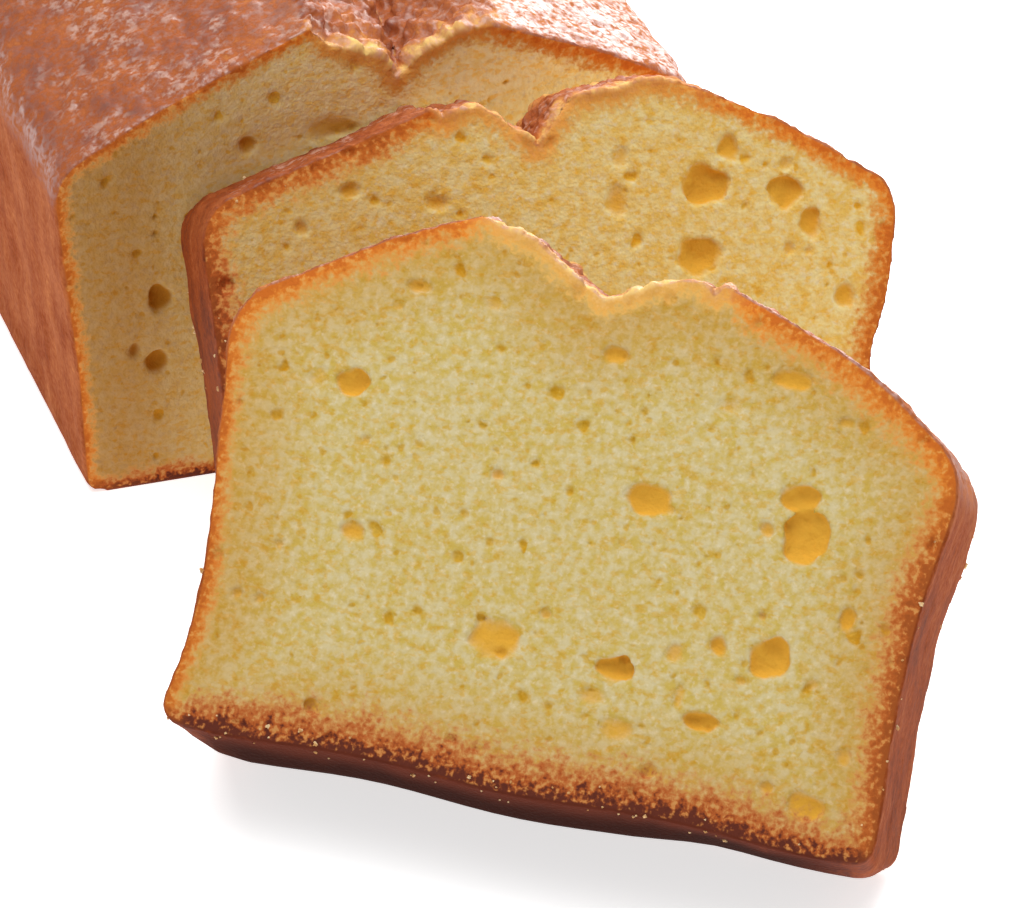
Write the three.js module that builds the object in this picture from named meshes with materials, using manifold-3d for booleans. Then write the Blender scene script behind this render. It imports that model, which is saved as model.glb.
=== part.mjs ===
// A plain butter loaf cake with a split, domed top, cut across. What is left of the loaf stands on its
// flat base. Two slices cut from it have tipped back: the middle slice leans on the loaf's cut face and
// the front slice leans on the middle slice. Each is one solid of crumb with its own browned skin.
//
// Millimetres, +Z up. The origin is the middle of the loaf's base. The loaf runs along Y, its cut face
// looks along -Y, and the slices stand in front of that face.
import * as THREE from 'three';
import { ImprovedNoise } from 'three/addons/math/ImprovedNoise.js';
import { mergeVertices } from 'three/addons/utils/BufferGeometryUtils.js';
import Module from 'manifold-3d';

const wasm = await Module();
wasm.setup();
const noise = new ImprovedNoise();

// The loaf as it came out of the tin
const loafLength = 120;
const rimHeight = 44;
const shoulderHalf = 40;
const footRound = 2.6;

// The far end, which was never cut: its round corners, its draft, how much of the dome's height is left
// over the end wall, and the stretch along which the dome rises and the split opens
const endRound = 9;
const endTaper = Math.tan(THREE.MathUtils.degToRad(5));
const endRimSink = 0.7;
const endDomeShare = 0.22;
const domeRun = 46;
const uncracked = { height: 60, fall: 14 };
const splitOpens = { from: 14, to: 36 };

// Length of an edge round the crust, along the flat base, and along the loaf
const crustPitch = 2.6;
const splitPitch = 1.6;
const basePitch = 9;
const loafSteps = 40;
const loafStepPower = 1.25;
const sliceSteps = 7;

// Unevenness of the crust: how deep it is and how far across
const crustSwell = { depth: 0.45, across: 11 };
const crustGrain = { depth: 0.22, across: 3.7 };
const crag = { depth: 1.9, across: 4.3 };
const cragHump = { depth: 1.6, across: 13 };
const lipBreak = { depth: 1.3, across: 6 };
const splitWander = { reach: 2.2, period: 61, from: 12, to: 28 };
const sliceCragShare = 0.6;
const bareBase = 4;
const crownStart = 6;
const cleanCut = 5;
const sliceBaseWave = { rise: 0.7, period: 33, reach: 10 };

// Sections seen from the front. Each side gives the half width at the foot, places on the wall up to the
// one where it starts to turn over, the corner it turns about, and two places on the top crust. The split
// runs from the right lip down into the valley and up to the left lip.
const loafSection = {
  left: {
    foot: 35.8, wall: [[36.8, 16], [38.2, 28.5], [39.7, 41]],
    corner: [39.9, 45.2], crust: [36, 47.2], crown: [25.5, 53],
  },
  right: {
    foot: 35.8, wall: [[36.8, 16], [38.4, 28.5], [40, 41]],
    corner: [40.2, 45], crust: [37, 46.6], crown: [26.6, 52],
  },
  split: [
    [12.5, 57.6], [8.9, 57.2], [5.3, 55.4], [1.4, 53.8], [0.4, 51.8], [-0.4, 53.8], [-4.5, 55.4],
    [-7, 57.7], [-9.3, 60.4],
  ],
};
const middleSection = {
  left: {
    foot: 38.6, wall: [[38.4, 16], [39.6, 29], [40.5, 40.5]],
    corner: [40.9, 46], crust: [36, 47.4], crown: [24.5, 51.6],
  },
  right: {
    foot: 38, wall: [[36.7, 15], [36.7, 24], [39.3, 32], [40.4, 40]],
    corner: [40.6, 44.4], crust: [37.4, 45.7], crown: [27, 52.2],
  },
  split: [
    [16, 57.1], [11.4, 57.7], [8.4, 56.7], [3.7, 56.4], [1.9, 55.6], [0, 52.8], [-1.3, 50.8],
    [-2.4, 51.8], [-5.2, 54.1], [-8, 55.7], [-10.3, 55.4], [-12.1, 54.6], [-13.6, 55.6],
  ],
};
const frontSection = {
  left: {
    foot: 38.9, wall: [[37.5, 14.4], [38.6, 27], [40.3, 42]],
    corner: [40.4, 47.4], crust: [35.5, 49.7], crown: [24.5, 56.4],
  },
  right: {
    foot: 39.7, wall: [[39.1, 16], [39.4, 27], [40.9, 38.5]],
    corner: [41.2, 43.8], crust: [37, 46.2], crown: [26.5, 52.7],
  },
  split: [
    [12, 57.9], [11.1, 56.6], [9.6, 57.7], [6.9, 57.5], [3.4, 55.7], [-0.5, 53.8],
    [-1.9, 54.8], [-5.6, 56.6], [-8.9, 58.8], [-12.9, 59.6], [-15.4, 60.7],
  ],
};

// Slices: thickness, turn about the upright, lean from the upright, and where the middle of the back
// bottom edge stands, measured from the middle of the foot of the loaf's cut face
const middleSlice = {
  section: middleSection, thickness: 17, turn: 8.9, lean: 30.7, foot: [11.5, -30.5],
};
const frontSlice = {
  section: frontSection, thickness: 25.2, turn: 35.2, lean: 39, foot: [-3.5, -71.2],
};

// Large gas holes in the cut faces: [across, up, width, height, depth]
const loafHoles = [
  [-27.2, 26.9, 2.7, 4.2, 2.4], [-27, 17.3, 2.6, 3.6, 2.2], [-16.2, 45.7, 3, 3.4, 1.4],
  [-5.9, 46.3, 7, 3.4, 1.2],
];
const middleHoles = [
  [18.1, 45.1, 5, 4.6, 3], [27.2, 44.1, 4, 3.6, 2.4], [27.7, 47.2, 1.9, 1.7, 1.2],
  [20.9, 49.3, 2.4, 2.9, 1.8], [30.2, 40.2, 2.5, 3.7, 2.2], [16.7, 36.7, 4.8, 4.2, 2.8],
  [34, 31.3, 2.6, 2.6, 1.4], [-13.5, 44.9, 2.4, 2, 1.4],
];
const frontHoles = [
  [25, 36.4, 2.8, 3.6, 2.2], [25.6, 32.8, 4.6, 6.2, 3.2], [24.8, 19.9, 4.2, 4.4, 2.6],
  [8.8, 33.8, 5.6, 3.3, 1.6], [8.7, 15.7, 4.4, 2.6, 2.4], [18.9, 11.7, 3.8, 1.9, 2],
  [-4.3, 16.2, 7, 4.3, 1.7], [6.8, 12.3, 3.8, 2.3, 1.2], [-25.6, 40.3, 4, 3.2, 2],
  [-22.4, 24.3, 3, 3.1, 1.3], [31.3, 5.1, 4.4, 3.8, 1.4], [21.2, 49.3, 3.8, 2.4, 1.2],
];
const holeUneven = { share: 0.3, waves: 1.4 };

// Holes in the slices' backs, which only the other side shows: least and greatest size, spread and depth
const backHoles = {
  count: 5, size: [3, 5], depth: [1.4, 2.4], spread: [0.45, 1], reach: [27, 15], middle: 26,
};

function near(value, from, to) {
  return THREE.MathUtils.smoothstep(value, from, to);
}

// Noise of a given depth and distance across, at a place on the crust
function uneven({ depth, across }, x, y, z) {
  return depth * noise.noise(x / across, y / across, z / across);
}

// The closed outline of a section, anticlockwise from the left foot
function sectionPoints({ left, right, split }) {
  const place = ([x, y], sign = 1) => new THREE.Vector2(x * sign, y);
  const spaced = (curve, pitch) => {
    const count = Math.max(1, Math.round(curve.getLength() / pitch));
    return curve.getSpacedPoints(count);
  };
  const foot = (side, sign) => new THREE.QuadraticBezierCurve(
    place([side.foot - footRound, 0], sign),
    place([side.foot, 0], sign),
    place([side.foot, footRound], sign),
  );
  const wall = (side, sign) => new THREE.SplineCurve([
    place([side.foot, footRound], sign),
    ...side.wall.map((spot) => place(spot, sign)),
  ]);
  const rim = (side, sign) => new THREE.QuadraticBezierCurve(
    place(side.wall[side.wall.length - 1], sign),
    place(side.corner, sign),
    place(side.crust, sign),
  );
  const crust = (side, sign, lip) => new THREE.SplineCurve([
    place(side.crust, sign),
    place(side.crown, sign),
    place(lip),
  ]);
  const upwards = (side, sign, lip) => [
    foot(side, sign),
    wall(side, sign),
    rim(side, sign),
    crust(side, sign, lip),
  ].map((curve) => spaced(curve, crustPitch));

  const base = new THREE.LineCurve(
    place([left.foot - footRound, 0], -1),
    place([right.foot - footRound, 0]),
  );
  const cracks = split.slice(1).map((end, i) => new THREE.LineCurve(place(split[i]), place(end)));
  const downLeft = upwards(left, -1, split[split.length - 1]).map((points) => points.reverse()).reverse();
  const stretches = [
    spaced(base, basePitch),
    ...upwards(right, 1, split[0]),
    ...cracks.map((line) => spaced(line, splitPitch)),
    ...downLeft,
  ];
  return stretches.flatMap((points) => points.slice(0, -1));
}

// A slice's base is slightly wavy, and never reaches below its own foot line
function wavyBase(points) {
  return points.map(({ x, y }) => {
    const wave = 0.5 - 0.5 * Math.cos((2 * Math.PI * x) / sliceBaseWave.period);
    return new THREE.Vector2(x, y + sliceBaseWave.rise * wave * (1 - near(y, 0, sliceBaseWave.reach)));
  });
}

// Extrudes an outline towards the viewer, then moves every point by shape(point)
function bakedGeometry(points, depth, steps, shape) {
  const outline = new THREE.Shape(points);
  const geometry = new THREE.ExtrudeGeometry(outline, { depth, steps, bevelEnabled: false });
  const position = geometry.getAttribute('position');
  const point = new THREE.Vector3();
  for (let i = 0; i < position.count; i += 1) {
    point.fromBufferAttribute(position, i);
    shape(point);
    position.setXYZ(i, point.x, point.y, point.z);
  }
  return geometry;
}

// Gentle swells and grain on the skin, square to it, fading out at the flat base. share is 0 at a cut.
function roughen(point, seed, share) {
  const out = new THREE.Vector2(point.x, point.y - rimHeight / 2).normalize();
  const swell = uneven(crustSwell, point.x, point.y, point.z + seed);
  const grain = uneven(crustGrain, point.x, point.y, point.z + seed);
  const bump = (swell + grain) * near(point.y, 0, bareBase) * share;
  point.x += out.x * bump;
  point.y += out.y * bump;
}

// 1 inside the split and 0 out on the smooth crust
function insideSplit(point, split) {
  const rightLip = split[0][0];
  const leftLip = split[split.length - 1][0];
  const across = near(point.x, leftLip - 1, leftLip + 2) * (1 - near(point.x, rightLip - 2, rightLip + 1));
  return across * near(point.y, rimHeight, rimHeight + crownStart);
}

// The split's torn floor, higher and lower along the loaf
function cragRise(point, seed) {
  return uneven(crag, point.x, seed, point.z) + uneven(cragHump, point.x, seed, point.z);
}

// How far the split and its broken lips stray sideways on their way along the loaf
function splitStray(fromCut) {
  const bend = splitWander.reach * Math.sin((2 * Math.PI * fromCut) / splitWander.period);
  return bend + uneven(lipBreak, fromCut, 0, 0);
}

// The loaf: stations crowd towards the far end, where the plan turns a round corner, the dome sinks to
// the rim and the split closes
function shapeLoaf(point) {
  point.z = loafLength * (point.z / loafLength) ** loafStepPower;
  const fromEnd = point.z;
  const fromCut = loafLength - fromEnd;
  const skinShare = near(Math.min(fromEnd, fromCut), 0, cleanCut);
  const opened = near(fromEnd, splitOpens.from, splitOpens.to);
  const torn = opened * skinShare;
  const split = insideSplit(point, loafSection.split);
  const onTop = near(point.y, rimHeight, rimHeight + crownStart);
  const strays = onTop * (1 - near(Math.abs(point.x), splitWander.from, splitWander.to));
  const whole = uncracked.height - (point.x / shoulderHalf) ** 2 * uncracked.fall;
  const rise = Math.sin((Math.PI / 2) * Math.min(fromEnd / domeRun, 1));
  const turn = Math.min(fromEnd / endRound, 1);
  const inset = endRound * (1 - Math.sqrt(1 - (1 - turn) ** 2));

  roughen(point, 0, skinShare);
  point.y += onTop * (whole - point.y) * (1 - opened) + split * cragRise(point, 0.5) * torn;
  if (point.y > rimHeight) {
    point.y = rimHeight + (point.y - rimHeight) * THREE.MathUtils.lerp(endDomeShare, 1, rise);
  }
  point.x += strays * splitStray(fromCut) * torn;
  point.x *= 1 - inset / shoulderHalf;
  point.y -= inset * endRimSink * near(point.y, rimHeight / 2, rimHeight + crownStart);
  point.z += endTaper * Math.max(rimHeight - point.y, 0) * (1 - fromEnd / loafLength);
}

function shapeSlice(point, { section, thickness }, seed) {
  const skinShare = near(Math.min(point.z, thickness - point.z), 0, cleanCut);
  roughen(point, seed, skinShare);
  point.y += insideSplit(point, section.split) * cragRise(point, seed) * sliceCragShare * skinShare;
}

function toSolid(geometry) {
  const bare = geometry.clone();
  bare.deleteAttribute('normal');
  bare.deleteAttribute('uv');
  const merged = mergeVertices(bare, 1e-4);
  return new wasm.Manifold(new wasm.Mesh({
    numProp: 3,
    vertProperties: merged.getAttribute('position').array,
    triVerts: Uint32Array.from(merged.getIndex().array),
  }));
}

function toGeometry(solid) {
  const mesh = solid.getMesh();
  const geometry = new THREE.BufferGeometry();
  geometry.setAttribute('position', new THREE.BufferAttribute(mesh.vertProperties, 3));
  geometry.setIndex(new THREE.BufferAttribute(mesh.triVerts, 1));
  geometry.computeVertexNormals();
  return geometry;
}

// An uneven bubble, half of it inside the face at height z
function bubble([across, up, width, height, depth], z) {
  const geometry = new THREE.IcosahedronGeometry(1, 1);
  const position = geometry.getAttribute('position');
  const point = new THREE.Vector3();
  for (let i = 0; i < position.count; i += 1) {
    point.fromBufferAttribute(position, i);
    const { x, y, z: w } = point.clone().multiplyScalar(holeUneven.waves);
    point.multiplyScalar(1 + holeUneven.share * noise.noise(x + across, y + up, w));
    position.setXYZ(i, across + (point.x * width) / 2, up + (point.y * height) / 2, z + point.z * depth);
  }
  return toSolid(geometry);
}

// Places for the holes in a slice's back, spread round it by a seeded draw
function spreadHoles(seed) {
  const { count, size, spread, reach, middle, depth } = backHoles;
  THREE.MathUtils.seededRandom(seed);
  const draw = ([least, most]) => THREE.MathUtils.lerp(least, most, THREE.MathUtils.seededRandom());
  return Array.from({ length: count }, (_, i) => {
    const angle = (2 * Math.PI * (i + draw([0, 0.6]))) / count;
    const out = draw(spread);
    const place = [reach[0] * out * Math.cos(angle), middle + reach[1] * out * Math.sin(angle)];
    return [...place, draw(size), draw(size), draw(depth)];
  });
}

// The solid less the bubbles in its front face, at height frontZ, and in its back face, at height 0
function withHoles(geometry, inFront, frontZ, inBack) {
  let solid = toSolid(geometry);
  for (const hole of inFront) {
    solid = solid.subtract(bubble(hole, frontZ));
  }
  for (const hole of inBack) {
    solid = solid.subtract(bubble(hole, 0));
  }
  return toGeometry(solid);
}

function makeLoaf() {
  const geometry = bakedGeometry(sectionPoints(loafSection), loafLength, loafSteps, shapeLoaf);
  const material = new THREE.MeshStandardMaterial({ color: 0xb9703a, roughness: 0.6, metalness: 0 });
  const mesh = new THREE.Mesh(withHoles(geometry, loafHoles, loafLength, []), material);
  mesh.name = 'loaf';
  mesh.rotation.x = Math.PI / 2;
  mesh.position.y = loafLength / 2;
  return mesh;
}

function makeSlice(name, slice, holes, seed) {
  const { section, thickness, turn, lean, foot } = slice;
  const shape = (point) => shapeSlice(point, slice, seed);
  const geometry = bakedGeometry(wavyBase(sectionPoints(section)), thickness, sliceSteps, shape);
  const material = new THREE.MeshStandardMaterial({ color: 0xdcc07a, roughness: 0.85, metalness: 0 });
  const mesh = new THREE.Mesh(withHoles(geometry, holes, thickness, spreadHoles(seed)), material);
  const upright = Math.PI / 2 - THREE.MathUtils.degToRad(lean);
  mesh.name = name;
  mesh.rotation.set(upright, 0, -THREE.MathUtils.degToRad(turn), 'ZYX');
  mesh.position.set(foot[0], foot[1] - loafLength / 2, 0);
  return mesh;
}

const cake = new THREE.Group();
cake.add(makeLoaf());
cake.add(makeSlice('middle_slice', middleSlice, middleHoles, 31));
cake.add(makeSlice('front_slice', frontSlice, frontHoles, 57));

export default cake;
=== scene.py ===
"""A plain butter loaf cake, cut across, with two slices that lean back on it in a row.

The loaf stands on its flat base and its cut face looks along -Y. Each of the three pieces is modelled
upright, with its front face towards -Y and the foot of its back face at the origin, and then set in its
place. Lengths are in millimetres, and MM turns them into Blender's metres.
"""

import math

import bmesh
import bpy
from mathutils import Euler, Matrix, Vector, noise


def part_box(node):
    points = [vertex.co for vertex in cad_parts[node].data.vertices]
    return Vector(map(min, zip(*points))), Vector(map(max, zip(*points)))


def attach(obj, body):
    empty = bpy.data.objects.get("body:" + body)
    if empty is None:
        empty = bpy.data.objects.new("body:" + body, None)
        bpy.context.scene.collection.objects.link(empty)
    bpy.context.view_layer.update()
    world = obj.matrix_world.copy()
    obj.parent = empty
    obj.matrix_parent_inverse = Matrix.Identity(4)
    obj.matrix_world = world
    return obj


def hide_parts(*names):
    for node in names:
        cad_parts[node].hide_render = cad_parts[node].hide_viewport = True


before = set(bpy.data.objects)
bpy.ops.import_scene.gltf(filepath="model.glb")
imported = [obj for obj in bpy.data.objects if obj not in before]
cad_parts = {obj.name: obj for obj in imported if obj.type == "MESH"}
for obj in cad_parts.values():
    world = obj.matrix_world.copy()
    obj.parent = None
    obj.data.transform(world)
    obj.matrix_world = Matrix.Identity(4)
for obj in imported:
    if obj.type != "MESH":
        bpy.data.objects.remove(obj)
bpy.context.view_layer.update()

MM = 0.001

# The place of the loaf's cut face comes from the frame
CUT_FACE = (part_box("loaf")[0] / MM).y
LOAF_LENGTH = 120

# Heights and round edges that every section shares
RIM = 44
SHOULDER = 40
FOOT_ROUND = 2.6
CROWN_START = 6

# How finely an outline is drawn: steps round the foot, up the wall, round the shoulder and over the
# crust, and millimetres between two points of the base
FOOT_STEPS = 4
WALL_STEPS = 16
CORNER_STEPS = 6
CRUST_STEPS = 14
BASE_PITCH = 3

# Half width at the foot, places up the wall, the corner it turns about, two places on the top crust,
# and the split's outline from the right lip down and up to the left lip
LOAF_SECTION = {
    "left": {
        "foot": 35.8, "wall": [(36.8, 16), (38.2, 28.5), (39.7, 41)],
        "corner": (39.9, 45.2), "crust": (36, 47.2), "crown": (25.5, 53),
    },
    "right": {
        "foot": 35.8, "wall": [(36.8, 16), (38.4, 28.5), (40, 41)],
        "corner": (40.2, 45), "crust": (37, 46.6), "crown": (26.6, 52),
    },
    "split": [
        (12.5, 57.6), (8.9, 57.2), (5.3, 55.4), (3.4, 54.2), (1.4, 51.9), (0.3, 54.6), (-4.5, 56.8),
        (-7, 57.8), (-9.3, 60.4),
    ],
}
MIDDLE_SECTION = {
    "left": {
        "foot": 38.6, "wall": [(38.4, 16), (39.6, 29), (40.5, 40.5)],
        "corner": (40.9, 46), "crust": (36, 47.4), "crown": (24.5, 51.6),
    },
    "right": {
        "foot": 38, "wall": [(36.7, 15), (36.7, 24), (39.3, 32), (40.4, 40)],
        "corner": (40.6, 44.4), "crust": (37.4, 45.7), "crown": (27, 52.2),
    },
    "split": [
        (16, 57.1), (11.4, 57.7), (8.4, 56.7), (3.7, 56.4), (1.9, 55.6), (0, 52.8), (-1.3, 50.8),
        (-2.4, 51.8), (-5.2, 54.1), (-8, 55.7), (-10.3, 55.4), (-12.1, 54.6), (-13.6, 55.6),
    ],
}
FRONT_SECTION = {
    "left": {
        "foot": 38.9, "wall": [(37.5, 14.4), (38.6, 27), (40.3, 42)],
        "corner": (40.4, 47.4), "crust": (35.5, 49.7), "crown": (24.5, 56.4),
    },
    "right": {
        "foot": 39.7, "wall": [(39.1, 16), (39.4, 27), (40.9, 38.5)],
        "corner": (41.2, 43.8), "crust": (37, 46.2), "crown": (26.5, 52.7),
    },
    "split": [
        (12, 57.9), (11.1, 56.6), (9.6, 57.7), (6.9, 57.5), (3.4, 55.7), (-0.5, 53.8),
        (-1.9, 54.8), (-5.6, 56.6), (-8.9, 58.8), (-12.9, 59.6), (-15.4, 60.7),
    ],
}
SLICE_BASE_WAVE = {"rise": 0.7, "period": 33, "reach": 10}

# Thickness, turn about the upright, lean, how far the underside sags between the cut faces, and where
# the middle of the back bottom edge stands, measured from the middle of the foot of the loaf's cut face
MIDDLE_SLICE = {"thickness": 17, "turn": 8.9, "lean": 30.7, "sag": 0, "foot": (11.5, -30.5)}
FRONT_SLICE = {"thickness": 25.2, "turn": 35.2, "lean": 39, "sag": 2.3, "foot": (-3.5, -71.2)}
SLICE_STATIONS = 8

# The sag: how quickly it starts behind the front face and before the back face, how high up it is felt,
# and the stretches across where it begins and where it lessens
SAG = {"front": 7, "back": 16, "up": 8, "begins": (-40, -31), "lessens": (12, 24), "less": 0.45}

# The loaf's far end: round corners, draft, how much lower its corners are, how high its dome starts and
# over what stretch it rises, how dark its skin is, and the dome's height and fall where it isn't split
END_ROUND = 9
END_TAPER = math.tan(math.radians(5))
END_RIM_SINK = 0.7
END_DOME_SHARE = 0.22
DOME_RUN = 46
END_DARK = 0.55
UNCRACKED = {"height": 60, "fall": 14}

# The split along the loaf: the stretch from the far end where it opens, how it strays sideways, less and
# less towards the walls and not at the cut face, and how its lips break
SPLIT_OPENS = (14, 36)
SPLIT_WANDER = {"reach": 2.2, "period": 61, "fades": (12, 28), "starts": 5}
LIP_BREAK = {"depth": 1.3, "across": 6}

# Millimetres between two stations along the loaf, and how much they crowd towards the far end
LOAF_STATION = 2
STATION_CROWDING = 1.25

# What the crust is like at each part of the outline: torn open or not, how dark its skin is, and how
# many millimetres the browning reaches into the crumb. Easing says with how many points on either side
# each is averaged.
QUALITIES = ("torn", "dark", "reach")
EASING = {"torn": 0, "dark": 3, "reach": 3}
LOAF_MARKS = {
    "base": (0, 0.95, 2.8), "right_wall": (0, 0.6, 2), "right_crust": (0, 0.5, 2.8),
    "torn": (1, 0.26, 2.4), "left_crust": (0, 0.6, 2), "left_wall": (0, 0.56, 1.8),
}
MIDDLE_MARKS = {
    "base": (0, 1.15, 5.2), "right_wall": (0, 0.58, 3.4), "right_crust": (0, 0.45, 2.6),
    "torn": (0.5, 0.3, 2.6), "left_crust": (0, 0.64, 3.2), "left_wall": (0, 0.79, 4),
}
FRONT_MARKS = {
    "base": (0, 1.15, 5.2), "right_wall": (0, 0.72, 3.8), "right_crust": (0, 0.52, 3.6),
    "torn": (0.5, 0.22, 2), "left_crust": (0, 0.52, 3.2), "left_wall": (0, 0.58, 2.2),
}

# Gas holes in each cut face: across, up, width, height, depth
LOAF_HOLES = [
    (-26.8, 26.5, 2.7, 3.8, 1.8), (-27, 17.3, 2.5, 3.2, 1.6), (-29.8, 19.3, 1.7, 2.3, 1),
    (-16.4, 45.7, 2.4, 2.6, 1), (-5.9, 46.2, 7.2, 3, 0.9), (-20.3, 38.4, 1.7, 1.9, 0.7),
]
MIDDLE_HOLES = [
    (18, 44.9, 4.9, 4.6, 2), (27.3, 43.8, 4.1, 3.4, 1.6), (27.7, 47, 1.8, 1.5, 0.8),
    (20.9, 49.1, 2.4, 2.8, 1.1), (30.2, 40.1, 2.6, 3.6, 1.2), (16.7, 37, 5.2, 4.1, 1.6),
    (33.9, 31.3, 2.6, 2.7, 1), (-13.4, 44.9, 2.3, 2, 0.9), (-38, 37.1, 1.9, 2, 0.9),
    (-29, 42.9, 1.4, 1.7, 0.9), (-23.3, 47, 2.5, 1.6, 0.9), (7.4, 43.8, 2.9, 3.4, 0.7),
    (27.5, 37.2, 1.4, 1.5, 0.7), (29.8, 37, 1.1, 1, 0.6), (8.1, 48.8, 2.1, 2.5, 0.6),
]
FRONT_HOLES = [
    (24.5, 37, 3.9, 2.8, 1.6), (25.7, 33, 4.4, 5.3, 2.2), (24.7, 19.6, 3.9, 4.1, 2),
    (18.8, 11.7, 3.7, 1.8, 1.6), (8.7, 15.6, 4.2, 2.5, 1.7), (6.8, 12.2, 3.5, 1.9, 0.7),
    (10.1, 9.1, 3.4, 2.1, 0.7), (14.6, 18.5, 2.2, 2.1, 0.8), (19.1, 20, 1.8, 2.1, 1.1),
    (22.9, 23.9, 1.1, 1.1, 0.8), (32, 25.2, 1.7, 2.5, 1), (22.2, 16.8, 1.5, 1.1, 0.8),
    (16, 13.9, 1.2, 2.5, 0.7), (14.4, 5.4, 2.1, 1.5, 1.1), (27, 6.3, 1.7, 1.4, 0.8),
    (31.4, 5.1, 3.9, 2.8, 1.2), (34.4, 11, 1.6, 1.8, 0.8), (29.7, 18, 1.5, 1.2, 0.7),
    (1.9, 48.1, 2.7, 1.9, 1.1), (21.1, 49.2, 3.9, 2.2, 1.2), (8.9, 33.7, 5.1, 3.1, 1.3),
    (27.6, 45.8, 1.9, 1.3, 0.8), (21.6, 33, 1.6, 1.7, 0.9), (15.1, 45.2, 2.7, 1.9, 0.5),
    (-25.5, 40.2, 3.3, 2.7, 1.7), (-23, 34.2, 1.5, 1.4, 0.8), (-29.4, 39.8, 2.2, 2.3, 0.5),
    (-20.3, 51.6, 2.5, 1.4, 0.9), (-22.5, 49.1, 1.4, 1.5, 0.6), (-12.1, 51.4, 2.1, 1.8, 0.5),
    (-8.1, 33.2, 1.6, 1.2, 0.9), (-22.3, 24.2, 2.7, 2.3, 0.9), (-30, 21.4, 1.3, 1.2, 0.8),
    (-33.3, 15.5, 1.2, 1.4, 0.8), (-30.8, 15.2, 1.3, 1.3, 0.8), (-22.6, 4.8, 2, 1.7, 0.9),
    (-7.1, 4.6, 1.7, 1.1, 0.9), (-4.6, 16.1, 6.2, 4.2, 1), (0.1, 19.7, 1.4, 1.1, 0.7),
]
MIDDLE_BACK_HOLES = [(-17, 30, 4, 3.4, 1.8), (12, 17, 3.2, 4, 1.6), (24, 36, 3.4, 3, 1.4)]
FRONT_BACK_HOLES = [(-21, 18, 3.6, 3.8, 1.8), (3, 38, 4.4, 3.2, 2), (22, 26, 3, 3.4, 1.4)]

# How deep and how wide the holes are cut, against the sizes above, how uneven they are, over how many
# millimetres, the noise's roughness, spread and layers, and how far apart in it their shapes are drawn
HOLE_DEPTH = 0.75
HOLE_SPREAD = 1.15
HOLE_UNEVEN = 0.32
HOLE_WAVES = 1.8
HOLE_NOISE = (0.9, 2, 3)
HOLE_DRAW = Vector((7.3, 3.1, 0.7))

# Fineness of the visible meshes
SLICE_VOXEL = 0.34
LOAF_VOXEL = 0.48
MOST_TRIANGLES = 190000

# The camera stands off from the foot of the cut face
CAMERA_OFFSET = Vector((-179.03, -486.42, 356.08))
CAMERA_TURN = 22.14
CAMERA_DOWN = 34.47
CAMERA_ROLL = 3.57
CAMERA_LENS = 181.44
CAMERA_SENSOR = 36

# Each lamp's name, place, side and power, and how high on the cut face they all aim
LAMPS = [
    ("back_softbox", (330, 430, 220), 500, 5),
    ("top_softbox", (-60, -60, 700), 700, 5),
]
LAMPS_AIM = 30
WORLD_LIGHT = 0.27
FLOOR_SHADE = 0.95
FLOOR_GLOW = 0.68

# Colours are as seen on screen, from 0 to 255. For each piece: its crumb, pale and golden, how warm it
# is near the crust, how much painted shade darkens its left side, and how glossy its top is. The crumbs
# are lit and shaded copies of one: the middle slice's paler and more golden, as painted light shining
# through it from behind, and the loaf's much paler, painted light against the shade it stands in.
FRONT_BAKE = ((209, 193, 147), (201, 173, 85), 1, 0, 0.6)
MIDDLE_BAKE_AND_PAINTED_LIGHT = ((228, 208, 146), (224, 184, 90), 0, 0.48, 0.2)
LOAF_BAKE_AND_PAINTED_LIGHT = ((255, 244, 190), (250, 226, 144), 0, 1.1, 1)

# The crumb's whitish grains, and the floor of gas holes, painted amber as a glow of light shining
# through the crumb and brighter against the shade inside them, with the depths between which it comes in
PALE_GRAINS = (226, 212, 180)
PAINTED_HOLE_GLOW = (224, 168, 60)
HOLE_FLOOR = (0.1, 0.7)

# What the crumb's colour is multiplied by inside pores, as a painted amber glow of light scattered in
# them, near the crust, within so many millimetres of it, and as painted shade on its left side, between
# two places across
PAINTED_PORE_GLOW = (1, 0.73, 0.12, 1)
NEAR_CRUST = (0.9, 0.7, 0.46, 1)
WARM_REACH = 14
PAINTED_SIDE_SHADE = (0.47, 0.32, 0.22, 1)
PAINTED_SHADE_ACROSS = (-38, 4)

# Depths below the skin between which its relief and its colour give way to the crumb's
SKIN_RELIEF = (0.2, 0.8)
SKIN_COLOUR = (0.15, 0.4)

# Three bands of browned crumb, from the inner edge out to the skin: between which shares of the
# browning's reach each fades, and its colours from lightly to darkly baked
TAN_BAND = (0.5, 1.25)
BROWNED_BAND = (0.3, 0.95)
OUTER_BAND = (0.08, 0.44)
TAN_CRUMB = [(0.1, (224, 188, 112)), (0.45, (220, 164, 86)), (0.9, (204, 146, 84))]
BROWNED_CRUMB = [(0.1, (232, 186, 96)), (0.45, (228, 138, 50)), (0.75, (178, 90, 42))]
OUTER_CRUMB = [(0.1, (244, 206, 124)), (0.45, (214, 114, 40)), (0.9, (98, 48, 36))]
BROWNED_GRAINS = (228, 172, 98)

# Skin from lightly to darkly baked, the underside, dark from scorching and from painted shade beneath
# the pieces, and pale flaking with painted glints on top
SKIN = [
    (0, (236, 196, 120)),
    (0.2, (208, 138, 76)),
    (0.42, (178, 102, 60)),
    (0.7, (146, 68, 30)),
    (1, (96, 44, 30)),
]
SCORCHED_AND_SHADED = (52, 24, 18)
FLAKES_AND_GLINTS = (226, 184, 164)

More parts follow.
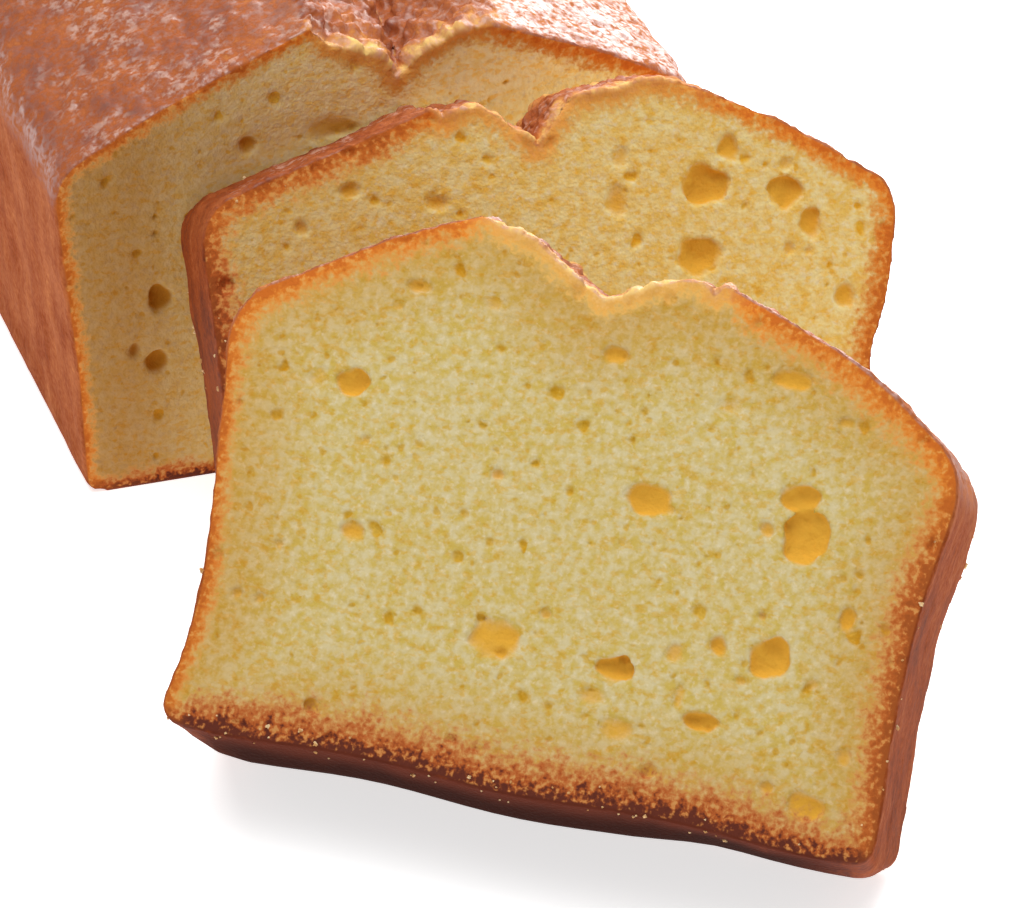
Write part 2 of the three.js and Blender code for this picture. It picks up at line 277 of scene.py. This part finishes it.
# Loose crumbs: how many at most on a square millimetre, between which distances from a cut edge they
# thin out, how dark the crust is that holds few and many, the smallest and widest, their two colours,
# and how uneven one is and how often that changes on each millimetre
CRUMBS_PER_MM2 = 0.15
CRUMBS_FROM_EDGE = (0.6, 3)
CRUMBS_ON_DARK = (0.55, 0.95)
CRUMB_SIZES = (0.2, 0.65)
CRUMB_COLOURS = ((202, 150, 92), (230, 200, 152))
CRUMB_UNEVEN = 0.9
CRUMB_WAVES = 3.1


def near(value, low, high):
    """0 below low, 1 above high and smooth between them"""
    share = min(max((value - low) / (high - low), 0), 1)
    return share * share * (3 - 2 * share)


def make_camera():
    camera = bpy.data.objects.new("camera", bpy.data.cameras.new("camera"))
    bpy.context.scene.collection.objects.link(camera)
    bpy.context.scene.camera = camera
    camera.data.lens = CAMERA_LENS
    camera.data.sensor_width = CAMERA_SENSOR
    camera.location = (Vector((0, CUT_FACE, 0)) + CAMERA_OFFSET) * MM
    turn = Matrix.Rotation(-math.radians(CAMERA_TURN), 4, "Z")
    tilt = Matrix.Rotation(math.radians(90 - CAMERA_DOWN), 4, "X")
    roll = Matrix.Rotation(math.radians(CAMERA_ROLL), 4, "Z")
    camera.rotation_euler = (turn @ tilt @ roll).to_euler()


def choose(*pieces):
    """Selects these pieces alone, the last of them active"""
    bpy.ops.object.select_all(action="DESELECT")
    for piece in pieces:
        piece.select_set(True)
    bpy.context.view_layer.objects.active = pieces[-1]


def edit(piece):
    """Opens the piece for editing, all of it selected"""
    choose(piece)
    bpy.ops.object.mode_set(mode="EDIT")
    bpy.ops.mesh.select_mode(type="FACE")
    bpy.ops.mesh.select_all(action="SELECT")


def finish_edit():
    bpy.ops.object.mode_set(mode="OBJECT")


def modify(piece, kind, **settings):
    """Adds a modifier and applies it"""
    choose(piece)
    modifier = piece.modifiers.new(kind.lower(), kind)
    for name, value in settings.items():
        setattr(modifier, name, value)
    bpy.ops.object.modifier_apply(modifier=modifier.name)


def through(points, count):
    """count steps along a smooth curve through a few points"""
    steps = []
    last = len(points) - 1
    for i in range(count + 1):
        place = last * i / count
        start = min(int(place), last - 1)
        part = place - start
        before, here, after, beyond = (
            Vector(points[min(max(k, 0), last)]) for k in range(start - 1, start + 3)
        )
        steps.append(
            here
            + (after - before) * part / 2
            + (before - here * 2.5 + after * 2 - beyond / 2) * part**2
            + (here * 1.5 - before / 2 - after * 1.5 + beyond / 2) * part**3
        )
    return steps


def bend(start, corner, end, count):
    """count steps round a corner"""
    start, corner, end = Vector(start), Vector(corner), Vector(end)
    steps = []
    for i in range(count + 1):
        share = i / count
        steps.append(start * (1 - share) ** 2 + corner * 2 * share * (1 - share) + end * share**2)
    return steps


def upwards(side, sign, lip, name):
    """Points from the foot up to the split's lip, each with its mark"""
    foot = side["foot"]
    wall = [
        *bend((foot - FOOT_ROUND, 0), (foot, 0), (foot, FOOT_ROUND), FOOT_STEPS)[:-1],
        *through([(foot, FOOT_ROUND), *side["wall"]], WALL_STEPS)[:-1],
    ]
    crust = [
        *bend(side["wall"][-1], side["corner"], side["crust"], CORNER_STEPS)[:-1],
        *through([side["crust"], side["crown"], (abs(lip[0]), lip[1])], CRUST_STEPS)[:-1],
    ]
    walls = [(x * sign, z, name + "_wall") for x, z in wall]
    return walls + [(x * sign, z, name + "_crust") for x, z in crust]


def outline(section):
    """The closed outline of a section, anticlockwise from the left foot, each point with its mark"""
    split = section["split"]
    right = upwards(section["right"], 1, split[0], "right")
    left = upwards(section["left"], -1, split[-1], "left")
    start, end = left[0][0], right[0][0]
    count = round((end - start) / BASE_PITCH)
    base = [(start + (end - start) * i / count, 0, "base") for i in range(count)]
    cracks = []
    for (x, z), (next_x, next_z) in zip(split, split[1:]):
        cracks += [(x, z, "torn"), ((x + next_x) / 2, (z + next_z) / 2, "torn")]
    return [*base, *right, *cracks, (*split[-1], "torn"), *reversed(left[1:])]


def wavy(points):
    """A slice's base is slightly wavy, and never reaches below its own foot line"""
    wave = SLICE_BASE_WAVE
    turns = 2 * math.pi / wave["period"]
    waved = []
    for x, z, mark in points:
        rise = wave["rise"] * (0.5 - 0.5 * math.cos(turns * x))
        waved.append((x, z + rise * (1 - near(z, 0, wave["reach"])), mark))
    return waved


def eased(values, steps):
    """Each value of a closed row averaged with so many on each side"""
    count = len(values)
    near_by = range(-steps, steps + 1)
    return [sum(values[(i + k) % count] for k in near_by) / len(near_by) for i in range(count)]


def block(name, points, marks, stations):
    """The outline drawn out towards the front from station to station"""
    bpy.ops.mesh.primitive_circle_add(vertices=len(points), radius=SHOULDER * MM, fill_type="NGON")
    piece = bpy.context.object
    piece.name = piece.data.name = name
    for i, (x, z, _) in enumerate(points):
        piece.data.vertices[i].co = Vector((x, 0, z)) * MM
    for k, quality in enumerate(QUALITIES):
        attribute = piece.data.attributes.new(quality, "FLOAT", "POINT")
        values = eased([marks[mark][k] for _, _, mark in points], EASING[quality])
        attribute.data.foreach_set("value", values)
    edit(piece)
    for here, there in zip(stations, stations[1:]):
        step = Vector((0, here - there, 0)) * MM
        bpy.ops.mesh.extrude_region_move(TRANSFORM_OT_translate={"value": step})
    bpy.ops.mesh.select_all(action="SELECT")
    bpy.ops.mesh.normals_make_consistent(inside=False)
    finish_edit()
    return piece


def split_stray(from_cut):
    """How far the split strays sideways on its way along the loaf"""
    wander = SPLIT_WANDER["reach"] * math.sin(2 * math.pi * from_cut / SPLIT_WANDER["period"])
    ragged = LIP_BREAK["depth"] * noise.noise(Vector((from_cut / LIP_BREAK["across"], 0, 0)))
    return wander + ragged


def shape_far_end(piece):
    """Rounds the corners, sinks the dome to the rim and closes the split"""
    torn, dark = (piece.data.attributes[quality].data for quality in ("torn", "dark"))
    for vertex in piece.data.vertices:
        x, y, z = vertex.co / MM
        from_end = -y
        from_cut = LOAF_LENGTH - from_end
        opened = near(from_end, *SPLIT_OPENS)
        torn[vertex.index].value *= opened
        dark[vertex.index].value += (END_DARK - dark[vertex.index].value) * (1 - opened)
        on_top = near(z, RIM, RIM + CROWN_START)
        strays = on_top * (1 - near(abs(x), *SPLIT_WANDER["fades"]))
        whole = UNCRACKED["height"] - (x / SHOULDER) ** 2 * UNCRACKED["fall"]
        rise = math.sin(math.pi / 2 * min(from_end / DOME_RUN, 1))
        turn = min(from_end / END_ROUND, 1)
        inset = END_ROUND * (1 - math.sqrt(1 - (1 - turn) ** 2))
        z += on_top * (whole - z) * (1 - opened)
        if z > RIM:
            z = RIM + (z - RIM) * (END_DOME_SHARE + (1 - END_DOME_SHARE) * rise)
        x += strays * split_stray(from_cut) * opened * near(from_cut, 0, SPLIT_WANDER["starts"])
        x *= 1 - inset / SHOULDER
        z -= inset * END_RIM_SINK * near(z, RIM / 2, RIM + CROWN_START)
        y -= END_TAPER * max(RIM - z, 0) * (1 - from_end / LOAF_LENGTH)
        vertex.co = Vector((x, y, z)) * MM


def sag_underside(piece, thickness, depth):
    """Lets a slice's underside hang a little lower between its two cut faces"""
    for vertex in piece.data.vertices:
        x, y, z = vertex.co / MM
        along = near(thickness + y, 0, SAG["front"]) * near(-y, 0, SAG["back"])
        across = near(x, *SAG["begins"]) * (1 - SAG["less"] * near(x, *SAG["lessens"]))
        vertex.co.z -= depth * along * across * (1 - near(z, 0, SAG["up"])) * MM


def copy_skin(piece, cut_planes):
    """A copy of the piece with its cut faces gone, to measure from how deep the crumb lies"""
    choose(piece)
    bpy.ops.object.duplicate()
    skin = bpy.context.object
    mesh = bmesh.new()
    mesh.from_mesh(skin.data)
    for face in list(mesh.faces):
        if any(all(abs(vertex.co.y / MM - y) < 0.01 for vertex in face.verts) for y in cut_planes):
            mesh.faces.remove(face)
    mesh.to_mesh(skin.data)
    mesh.free()
    return skin


def cut_holes(piece, holes, face):
    """Takes uneven bubbles out of the face that stands at y"""
    bubbles = []
    for i, (across, up, width, height, depth) in enumerate(holes):
        bpy.ops.mesh.primitive_ico_sphere_add(subdivisions=3, radius=1)
        bubble = bpy.context.object
        size = Vector((width * HOLE_SPREAD / 2, depth * HOLE_DEPTH, height * HOLE_SPREAD / 2))
        middle = Vector((across, face, up)) * MM
        bubble.scale = size * MM
        bubble.location = middle
        bpy.ops.object.transform_apply(location=True, rotation=True, scale=True)
        for vertex in bubble.data.vertices:
            wave = noise.fractal(vertex.co / MM / HOLE_WAVES + HOLE_DRAW * i, *HOLE_NOISE)
            vertex.co += (vertex.co - middle) * HOLE_UNEVEN * wave
        bubbles.append(bubble)
    choose(*bubbles)
    bpy.ops.object.join()
    cutter = bpy.context.object
    modify(piece, "BOOLEAN", operation="DIFFERENCE", solver="EXACT", object=cutter, use_self=True)
    bpy.data.objects.remove(cutter)


class Wire:
    """What a node gives out, to be reckoned with like a number"""

    def __init__(self, node, name=0):
        self.tree = node.id_data
        self.socket = node.outputs[name]

    def reckon(self, operation, *others):
        inputs = dict(enumerate((self, *others)))
        return Wire(add(self.tree, "ShaderNodeMath", inputs, operation=operation))

    def near(self, low, high):
        inputs = {"Value": self, "From Min": low, "From Max": high}
        return Wire(add(self.tree, "ShaderNodeMapRange", inputs, interpolation_type="SMOOTHSTEP"))

    def part(self, axis):
        return Wire(add(self.tree, "ShaderNodeSeparateXYZ", {0: self}), axis)

    def vector(self, operation, other):
        inputs = {0: self, 1: other}
        if operation == "SCALE":
            inputs = {0: self, "Scale": other}
        return Wire(add(self.tree, "ShaderNodeVectorMath", inputs, operation=operation))

    def __add__(self, other):
        return self.reckon("ADD", other)

    def __sub__(self, other):
        return self.reckon("SUBTRACT", other)

    def __mul__(self, other):
        return self.reckon("MULTIPLY", other)

    def __truediv__(self, other):
        return self.reckon("DIVIDE", other)

    def rest(self):
        """What is missing to 1"""
        return self * -1 + 1


def add(tree, kind, inputs=None, **settings):
    """A new node, with its settings made and its inputs wired or filled"""
    node = tree.nodes.new(kind)
    for name, value in settings.items():
        setattr(node, name, value)
    for name, value in (inputs or {}).items():
        if isinstance(value, Wire):
            tree.links.new(value.socket, node.inputs[name])
        else:
            node.inputs[name].default_value = value
    return node


def clouds(place, across, detail=2, stretch=(1, 1, 1)):
    """Soft noise from 0 to 1, about so many millimetres across"""
    place = place.vector("MULTIPLY", stretch)
    inputs = {"Vector": place, "Scale": 1 / across, "Detail": detail, "Roughness": 0.55}
    return Wire(add(place.tree, "ShaderNodeTexNoise", inputs, noise_dimensions="3D"))


def bumps(place, across, height, detail=2, stretch=(1, 1, 1)):
    """Soft unevenness of that height, half of it below 0"""
    return (clouds(place, across, detail, stretch) - 0.5) * height


def stirred(place, across, reach):
    """The place, moved about by noise so that patterns on it turn out uneven"""
    inputs = {"Vector": place, "Scale": 1 / across, "Detail": 1}
    swirl = Wire(add(place.tree, "ShaderNodeTexNoise", inputs, noise_dimensions="3D"), "Color")
    shift = swirl.vector("SUBTRACT", (0.5, 0.5, 0.5)).vector("SCALE", 2 * reach)
    return place.vector("ADD", shift)


def pores(place, cell, share, reach, edge):
    """1 inside round pores and 0 between them. share of the cells hold one, up to reach cells wide."""
    inputs = {"Vector": place, "Scale": 1 / cell, "Randomness": 1}
    pattern = add(place.tree, "ShaderNodeTexVoronoi", inputs, voronoi_dimensions="3D")
    draw = Wire(pattern, "Color").part("X")
    size = (draw - (1 - share)) * (reach / share)
    return (size - Wire(pattern, "Distance")).near(0, edge)


def named(tree, name, kind="FLOAT"):
    """A value that was stored on the mesh, inside Geometry Nodes"""
    return Wire(add(tree, "GeometryNodeInputNamedAttribute", {"Name": name}, data_type=kind))


def store(body, name, value, kind="FLOAT"):
    """The body with one more value stored on its mesh"""
    inputs = {"Geometry": body, "Name": name, "Value": value}
    settings = {"data_type": kind, "domain": "POINT"}
    return Wire(add(body.tree, "GeometryNodeStoreNamedAttribute", inputs, **settings))


def body_tree(name):
    """New Geometry Nodes, and the body that comes into them"""
    tree = bpy.data.node_groups.new(name, "GeometryNodeTree")
    tree.interface.new_socket("Geometry", in_out="INPUT", socket_type="NodeSocketGeometry")
    tree.interface.new_socket("Geometry", in_out="OUTPUT", socket_type="NodeSocketGeometry")
    return tree, Wire(add(tree, "NodeGroupInput"))


def apply_tree(piece, tree, result):
    """Turns the piece into what the tree makes of it"""
    add(tree, "NodeGroupOutput", {"Geometry": result})
    modify(piece, "NODES", node_group=tree)
    bpy.data.node_groups.remove(tree)


def gas_pores(place):
    """The crumb's wide and small gas pores"""
    place = stirred(place, 1.5, 0.6)
    wide = pores(place, cell=3.3, share=0.75, reach=0.32, edge=0.13)
    small = pores(place, cell=1.7, share=0.75, reach=0.32, edge=0.16)
    return wide, small


def crumb_relief(place):
    """Height of the cut crumb in millimetres: gas pores of two sizes and soft lumps"""
    wide, small = gas_pores(place)
    lumps = bumps(place, across=1.3, height=0.35)
    return lumps - wide * 0.4 - small * 0.22


def skin_relief(place, torn):
    """Height of the skin in millimetres: swells, grain, wrinkles on top and torn crags in the split"""
    swell = bumps(place, across=9, height=1, detail=1)
    grain = bumps(place, across=2.2, height=0.35, detail=3)
    wrinkles = bumps(place, across=2.8, height=1.1) + bumps(place, across=1.3, height=0.45, detail=1)
    on_top = place.part("Z").near(RIM - 4, RIM + 2)
    crags = bumps(place, across=5, height=3, detail=4)
    crags = crags + bumps(place, across=4, height=4.5).reckon("ABSOLUTE")
    crags = crags + bumps(place, across=1.6, height=2)
    clear_of_base = place.part("Z").near(0, 4)
    return (swell + grain + wrinkles * on_top + crags * torn) * clear_of_base


def skin_tone(place):
    """How much darker or lighter the skin is from place to place, streaked upwards on the walls"""
    on_wall = place.part("Z").near(RIM, RIM + 3).rest()
    mottle = bumps(place, across=6, height=0.6, detail=3)
    blotches = bumps(place, across=2, height=0.5)
    streaks = bumps(place, across=2.2, height=0.3, detail=1, stretch=(1, 1, 0.15))
    return mottle + blotches * on_wall.rest() + streaks * on_wall


def skin_marks(tree, shell, place):
    """The marks of the nearest skin, looked up at stirred places so that their borders are ragged"""
    ragged = stirred(place, 4, 1.6).vector("SCALE", MM)
    marks = {}
    for name in QUALITIES:
        inputs = {"Mesh": shell, "Value": named(tree, name), "Sample Position": ragged}
        sample = add(tree, "GeometryNodeSampleNearestSurface", inputs, data_type="FLOAT")
        marks[name] = Wire(sample, "Value")
    return marks


def from_cut_face(place, thickness, both_cut):
    """How far behind the front cut face a place is, or behind the nearest of two"""
    behind = place.part("Y").reckon("SUBTRACT", -thickness)
    if both_cut:
        behind = behind.reckon("MINIMUM", place.part("Y") * -1)
    return behind


def bake(piece, skin, thickness, both_cut):
    """Gives the finely meshed body its relief, and stores what its material needs to know"""
    tree, body = body_tree(piece.name)
    position = Wire(add(tree, "GeometryNodeInputPosition"))
    place = position.vector("SCALE", 1 / MM)
    shell = Wire(add(tree, "GeometryNodeObjectInfo", {"Object": skin}), "Geometry")
    nearest = add(tree, "GeometryNodeProximity", {0: shell}, target_element="FACES")
    body = store(body, "place", place, "FLOAT_VECTOR")
    body = store(body, "depth", Wire(nearest, "Distance") * (1 / MM))
    body = store(body, "sunk", from_cut_face(place, thickness, both_cut))
    for name, value in skin_marks(tree, shell, place).items():
        body = store(body, name, value)
    stored_place = named(tree, "place", "FLOAT_VECTOR")
    body = store(body, "tone", skin_tone(stored_place))
    on_crumb = named(tree, "depth").near(*SKIN_RELIEF)
    height = crumb_relief(stored_place) * on_crumb
    height = height + skin_relief(stored_place, named(tree, "torn")) * on_crumb.rest()
    shift = Wire(add(tree, "GeometryNodeInputNormal")).vector("SCALE", height * MM)
    moved = add(tree, "GeometryNodeSetPosition", {"Geometry": body, "Offset": shift})
    apply_tree(piece, tree, Wire(moved))


def refine(piece, voxel):
    """Meshes the piece evenly and finely, with its edges a little softer"""
    modify(piece, "REMESH", mode="VOXEL", voxel_size=voxel * MM, use_smooth_shade=True)
    modify(piece, "SMOOTH", factor=0.5, iterations=2)


def thin_out(piece):
    """Merges the smallest faces until the piece is light enough"""
    count = sum(len(face.vertices) - 2 for face in piece.data.polygons)
    if count > MOST_TRIANGLES:
        modify(piece, "DECIMATE", ratio=MOST_TRIANGLES / count)
    choose(piece)
    bpy.ops.object.shade_smooth()


def place_piece(piece, foot, turn=0, lean=0, **_):
    """Leans, turns and moves the piece to where it stands"""
    piece.rotation_euler = Euler((-math.radians(lean), 0, -math.radians(turn)))
    piece.location = Vector((foot[0], CUT_FACE + foot[1], 0)) * MM
    choose(piece)
    bpy.ops.object.transform_apply(location=True, rotation=True, scale=True)


def hand_over(piece, node):
    """Lets the piece stand for its node of the frame"""
    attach(piece, "root")
    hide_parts(node)


def dress(piece, material):
    """Gives the piece this material and no other"""
    piece.data.materials.clear()
    piece.data.materials.append(material)


def make_slice(name, node, section, marks, pose, front_holes, back_holes, material, crumb):
    """One slice in its place. Gives back the crumbs that cling to it."""
    thickness = pose["thickness"]
    stations = [thickness * i / SLICE_STATIONS for i in range(SLICE_STATIONS + 1)]
    piece = block(name, wavy(outline(section)), marks, stations)
    sag_underside(piece, thickness, pose["sag"])
    skin = copy_skin(piece, [0, -thickness])
    cut_holes(piece, front_holes, -thickness)
    cut_holes(piece, back_holes, 0)
    refine(piece, SLICE_VOXEL)
    bake(piece, skin, thickness, True)
    bpy.data.objects.remove(skin)
    thin_out(piece)
    dress(piece, material)
    crumbs = scatter_crumbs(piece, crumb, round(thickness))
    place_piece(piece, **pose)
    place_piece(crumbs, **pose)
    hand_over(piece, node)
    return crumbs


def make_loaf(material):
    count = round(LOAF_LENGTH / LOAF_STATION)
    stations = [LOAF_LENGTH * (i / count) ** STATION_CROWDING for i in range(count + 1)]
    piece = block("cake_loaf", outline(LOAF_SECTION), LOAF_MARKS, stations)
    shape_far_end(piece)
    skin = copy_skin(piece, [-LOAF_LENGTH])
    cut_holes(piece, LOAF_HOLES, -LOAF_LENGTH)
    refine(piece, LOAF_VOXEL)
    bake(piece, skin, LOAF_LENGTH, False)
    bpy.data.objects.remove(skin)
    thin_out(piece)
    dress(piece, material)
    place_piece(piece, (0, LOAF_LENGTH))
    hand_over(piece, "loaf")


def make_crumbs(parts, crumb):
    """Joins the slices' loose crumbs into one piece"""
    bpy.data.objects.remove(crumb)
    choose(*parts)
    bpy.ops.object.join()
    crumbs = bpy.context.object
    crumbs.name = crumbs.data.name = "loose_crumbs"
    dress(crumbs, loose_crumb_material())
    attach(crumbs, "root")


def srgb(red, green, blue):
    """A colour as seen on screen, 0 to 255, turned to the renderer's"""
    parts = [value / 255 for value in (red, green, blue)]
    return (*[part / 12.92 if part < 0.04 else ((part + 0.055) / 1.055) ** 2.4 for part in parts], 1)


def blend(share, first, second):
    """One colour turning into another as share goes from 0 to 1"""
    mixer = add(share.tree, "ShaderNodeMix", {0: share, 6: first, 7: second}, data_type="RGBA")
    return Wire(mixer, 2)


def tinted(share, colour, tint):
    """A colour multiplied by a tint, the more the higher share is"""
    inputs = {0: share, 6: colour, 7: tint}
    return Wire(add(share.tree, "ShaderNodeMix", inputs, data_type="RGBA", blend_type="MULTIPLY"), 2)


def stored(tree, name, part="Fac"):
    """A value that was stored on the mesh, inside a material"""
    return Wire(add(tree, "ShaderNodeAttribute", attribute_name=name), part)


def ramp(value, stops):
    """A colour picked by value from colours that stand at places between 0 and 1"""
    node = add(value.tree, "ShaderNodeValToRGB", {0: value})
    elements = node.color_ramp.elements
    while len(elements) < len(stops):
        elements.new(1)
    for element, (at, colour) in zip(elements, stops):
        element.position = at
        element.color = srgb(*colour)
    return Wire(node)


def crumb_colour(place, fine, tone, depth, cream, golden, warm):
    """Pale crumb, mottled with golden and warmer near the crust, with whitish grains and pores painted
    amber as light scattered in them
    """
    mottle = clouds(place, 1.1, 2) - tone * 0.3
    base = blend(mottle.near(0.3, 0.7), golden, cream)
    base = blend(fine.near(0, 0.26) * 0.5, base, srgb(*PALE_GRAINS))
    base = tinted(depth.near(0, WARM_REACH).rest() * warm, base, NEAR_CRUST)
    wide, small = gas_pores(place)
    blotches = clouds(place, 0.95, 2, (0.8, 1, 1.2)).near(0.52, 0.68)
    # The amber in pores and blotches is painted light, the glow of light scattered through the crumb
    amber = wide.reckon("MAXIMUM", small * 0.8).reckon("MAXIMUM", blotches * 0.6)
    return tinted(amber * 0.9, base, PAINTED_PORE_GLOW)


def toasted(crumb, place, depth, dark, reach, fine, tone):
    """Crumb that browns unevenly towards the crust"""
    clumps = bumps(place, across=1.9, height=0.8)
    closeness = depth / reach + fine * 1.5 + clumps + tone * 0.5
    browned = blend(fine.near(0.02, 0.16) * 0.4, ramp(dark, BROWNED_CRUMB), srgb(*BROWNED_GRAINS))
    colour = blend(closeness.near(*TAN_BAND).rest(), crumb, ramp(dark, TAN_CRUMB))
    colour = blend(closeness.near(*BROWNED_BAND).rest(), colour, browned)
    return blend(closeness.near(*OUTER_BAND).rest(), colour, ramp(dark, OUTER_CRUMB))


def skin_colour(place, tone, fine, torn, dark, behind):
    """Browned skin, pale where freshly torn, darkest underneath from scorching and painted shade, pale
    flaking and painted glints on top
    """
    away = behind + tone * 9
    freshness = away.near(0.5, 4) * 0.4 - 0.15
    baked = dark + torn.near(0, 0.5) * freshness + tone + fine * 0.5
    # Near-black underneath, the more so further from the cut face: partly scorching, partly painted
    # shade
    scorched_and_shaded = dark.near(0.85, 1.1) * away.near(-0.5, 5)
    skin = blend(scorched_and_shaded, ramp(baked, SKIN), srgb(*SCORCHED_AND_SHADED))
    # Pale flaking on the top crust, partly painted glints of light off its wrinkles
    clusters = clouds(place, 8, 2).near(0.44, 0.6).reckon("MAXIMUM", torn * 0.5)
    on_top = place.part("Z").near(RIM, RIM + 6)
    flakes_and_glints = (clouds(place, 1.5, 3) + fine * 0.7).near(0.46, 0.72) * (clusters * on_top)
    return blend(flakes_and_glints * 0.5, skin, srgb(*FLAKES_AND_GLINTS))


def new_material(name):
    """A new material, its nodes and its surface"""
    material = bpy.data.materials.new(name)
    material.use_nodes = True
    return material, material.node_tree, material.node_tree.nodes["Principled BSDF"]


def add_gloss(surface, place, fine, torn, dark, tone, is_skin, glossy):
    """A thin sheen on the top crust and on dark walls, none on crumb"""
    on_top = place.part("Z").near(RIM - 5, RIM + 2)
    top_gloss = on_top * (torn * -0.5 + 1) * (fine + tone).near(-0.2, 0.2) * glossy
    wall_gloss = dark.near(0.7, 0.8) * dark.near(0.85, 1).rest() * 0.08
    gloss = (top_gloss + wall_gloss) * is_skin
    gloss.tree.links.new(gloss.socket, surface.inputs["Coat Weight"])
    surface.inputs["Coat Roughness"].default_value = 0.4
    surface.inputs["Coat IOR"].default_value = 2.2


def cake_material(name, cream, golden, warm, left, glossy):
    """Crumb inside, browned towards the crust, and skin outside"""
    material, tree, surface = new_material(name)
    place = stored(tree, "place", "Vector")
    depth, sunk, torn, dark, reach, tone = (
        stored(tree, quality) for quality in ("depth", "sunk", *QUALITIES, "tone")
    )
    fine = clouds(place, 0.7, 2) - 0.5
    crumb = crumb_colour(place, fine, tone, depth, srgb(*cream), srgb(*golden), warm)
    # Painted glow of light shining through the crumb into the floors of gas holes
    crumb = blend(sunk.near(*HOLE_FLOOR), crumb, srgb(*PAINTED_HOLE_GLOW))
    # Painted shade: the crumb darker towards its left side
    crumb = tinted(place.part("X").near(*PAINTED_SHADE_ACROSS).rest() * left, crumb, PAINTED_SIDE_SHADE)
    crumb = toasted(crumb, place, depth, dark, reach, fine, tone)
    is_skin = depth.near(*SKIN_COLOUR).rest()
    colour = blend(is_skin, crumb, skin_colour(place, tone, fine, torn, dark, sunk))
    tree.links.new(colour.socket, surface.inputs["Base Color"])
    surface.inputs["Roughness"].default_value = 0.75
    surface.inputs["IOR"].default_value = 1.1
    add_gloss(surface, place, fine, torn, dark, tone, is_skin, glossy)
    height = clouds(place, 0.5, 1)
    bump = add(tree, "ShaderNodeBump", {"Height": height, "Distance": 0.5 * MM, "Strength": 0.35})
    tree.links.new(bump.outputs["Normal"], surface.inputs["Normal"])
    return material


def loose_crumb_material():
    material, tree, surface = new_material("loose_crumb")
    place = Wire(add(tree, "ShaderNodeTexCoord"), "Object").vector("SCALE", 1 / MM)
    dull, bright = CRUMB_COLOURS
    colour = blend(clouds(place, 0.9).near(0.4, 0.6), srgb(*dull), srgb(*bright))
    tree.links.new(colour.socket, surface.inputs["Base Color"])
    surface.inputs["Roughness"].default_value = 0.8
    surface.inputs["IOR"].default_value = 1.25
    return material


def make_crumb():
    """One small uneven crumb, 1 mm across, to be copied"""
    bpy.ops.mesh.primitive_ico_sphere_add(subdivisions=2, radius=0.5 * MM)
    crumb = bpy.context.object
    for vertex in crumb.data.vertices:
        vertex.co *= 1 + CRUMB_UNEVEN * noise.noise(vertex.co / MM * CRUMB_WAVES)
    return crumb


def scatter_crumbs(host, crumb, seed):
    """Crumbs that cling to the host along its cut edges, most of them where the crust is dark"""
    choose(host)
    bpy.ops.object.duplicate()
    crumbs = bpy.context.object
    tree, body = body_tree(crumbs.name)
    from_edge = named(tree, "depth").reckon("MAXIMUM", named(tree, "sunk"))
    holds = from_edge.near(*CRUMBS_FROM_EDGE).rest() * named(tree, "dark").near(*CRUMBS_ON_DARK)
    density = holds * CRUMBS_PER_MM2 * (1 / MM**2)
    inputs = {"Mesh": body, "Density": density, "Seed": seed}
    points = add(tree, "GeometryNodeDistributePointsOnFaces", inputs)
    single = Wire(add(tree, "GeometryNodeObjectInfo", {"Object": crumb}), "Geometry")
    turns = {0: (0, 0, 0), 1: (6, 6, 6)}
    turn = Wire(add(tree, "FunctionNodeRandomValue", turns, data_type="FLOAT_VECTOR"))
    draw = Wire(add(tree, "FunctionNodeRandomValue", {2: 0, 3: 1}), 1)
    smallest, widest = CRUMB_SIZES
    size = draw.reckon("POWER", 3) * (widest - smallest) + smallest
    inputs = {"Points": Wire(points, "Points"), "Instance": single, "Rotation": turn, "Scale": size}
    copies = Wire(add(tree, "GeometryNodeInstanceOnPoints", inputs))
    realized = Wire(add(tree, "GeometryNodeRealizeInstances", {"Geometry": copies}))
    apply_tree(crumbs, tree, realized)
    return crumbs


def light_studio():
    scene = bpy.context.scene
    scene.view_settings.view_transform = "Standard"
    world = bpy.data.worlds.new("studio")
    scene.world = world
    world.use_nodes = True
    background = world.node_tree.nodes["Background"]
    background.inputs["Color"].default_value = (1, 1, 1, 1)
    background.inputs["Strength"].default_value = WORLD_LIGHT
    aim = Vector((0, CUT_FACE, LAMPS_AIM)) * MM
    for name, place, size, power in LAMPS:
        lamp = bpy.data.objects.new(name, bpy.data.lights.new(name, "AREA"))
        scene.collection.objects.link(lamp)
        lamp.data.size = size * MM
        lamp.data.energy = power
        lamp.location = Vector(place) * MM
        lamp.rotation_euler = (aim - lamp.location).to_track_quat("-Z", "Y").to_euler()


def make_floor():
    bpy.ops.mesh.primitive_plane_add(size=4)
    floor = bpy.context.object
    floor.name = "floor"
    material, _, surface = new_material("white_floor")
    surface.inputs["Base Color"].default_value = (FLOOR_SHADE, FLOOR_SHADE, FLOOR_SHADE, 1)
    surface.inputs["Roughness"].default_value = 0.9
    surface.inputs["Emission Color"].default_value = (1, 1, 1, 1)
    surface.inputs["Emission Strength"].default_value = FLOOR_GLOW
    floor.data.materials.append(material)


make_camera()
light_studio()
make_floor()
crumb = make_crumb()
front_crumbs = make_slice(
    "cake_front_slice",
    "front_slice",
    FRONT_SECTION,
    FRONT_MARKS,
    FRONT_SLICE,
    FRONT_HOLES,
    FRONT_BACK_HOLES,
    cake_material("front_cake", *FRONT_BAKE),
    crumb,
)
middle_crumbs = make_slice(
    "cake_middle_slice",
    "middle_slice",
    MIDDLE_SECTION,
    MIDDLE_MARKS,
    MIDDLE_SLICE,
    MIDDLE_HOLES,
    MIDDLE_BACK_HOLES,
    cake_material("middle_cake", *MIDDLE_BAKE_AND_PAINTED_LIGHT),
    crumb,
)
make_loaf(cake_material("loaf_cake", *LOAF_BAKE_AND_PAINTED_LIGHT))
make_crumbs([front_crumbs, middle_crumbs], crumb)
